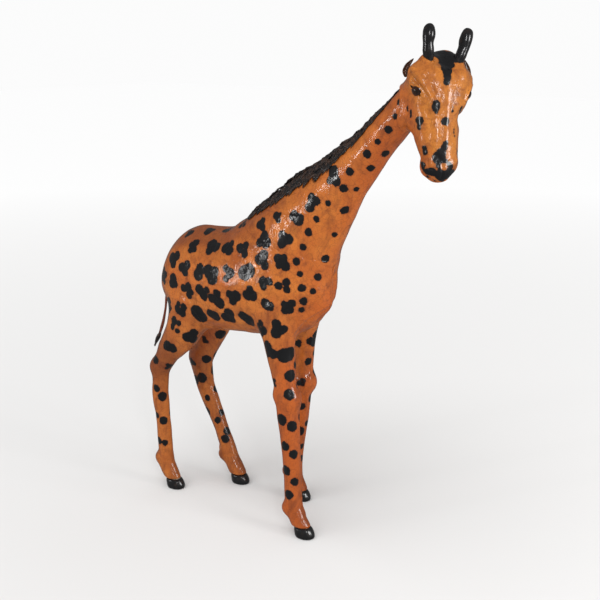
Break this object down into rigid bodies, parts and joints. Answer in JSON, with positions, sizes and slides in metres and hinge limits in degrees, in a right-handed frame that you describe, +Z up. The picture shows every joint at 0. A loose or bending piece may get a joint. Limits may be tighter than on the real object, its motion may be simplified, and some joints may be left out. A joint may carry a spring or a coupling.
{
  "type": "giraffe figurine",
  "caption": "Standing giraffe figure with its head turned aside: glued leather over shaped cores on wire, painted with dark spots, varnished.",
  "frame": {"origin": "on the ground, under the middle of the whole figure's bounding box", "axes": "+Z up, -Y the way the giraffe's body faces, +X to the giraffe's left"},
  "size_m": [0.072, 0.3242, 0.4304],
  "materials": {
    "paper_core": "raw papier-mache, matt",
    "dowel_wood": "plain softwood dowel",
    "steel_wire": "plain drawn wire",
    "spotted_leather": "tan leather, hand-painted black spots, thick gloss varnish",
    "leg_leather": "redder tan leather, hand-painted black spots, thick gloss varnish",
    "ear_leather": "thin curled leather, dark brown, varnished",
    "mane_leather": "cut and painted black leather strands, varnished",
    "black_horn": "painted black, thick gloss varnish",
    "black_hoof": "painted black, semi-gloss varnish",
    "eye_glass": "dark brown polished bead"
  },
  "bodies": {
    "root": {"torso_core": "paper_core", "neck_core": "paper_core", "neck_dowel": "dowel_wood", "head_core": "paper_core", "head_hide": "spotted_leather", "neck_hide": "spotted_leather", "torso_hide_right": "spotted_leather", "horn_right": "black_horn", "eye_right": "eye_glass", "ear_right": "ear_leather", "torso_hide_left": "spotted_leather", "horn_left": "black_horn", "eye_left": "eye_glass", "ear_left": "ear_leather", "leg_core_front_right": "paper_core", "leg_wire_front_right": "steel_wire", "leg_hide_front_right": "leg_leather", "hoof_front_right": "black_hoof", "leg_core_front_left": "paper_core", "leg_wire_front_left": "steel_wire", "leg_hide_front_left": "leg_leather", "hoof_front_left": "black_hoof", "leg_core_hind_right": "paper_core", "leg_wire_hind_right": "steel_wire", "leg_hide_hind_right": "leg_leather", "hoof_hind_right": "black_hoof", "leg_core_hind_left": "paper_core", "leg_wire_hind_left": "steel_wire", "leg_hide_hind_left": "leg_leather", "hoof_hind_left": "black_hoof", "mane": "mane_leather", "tail_thong": "leg_leather", "tail_tuft": "mane_leather"}
  },
  "joints": []
}
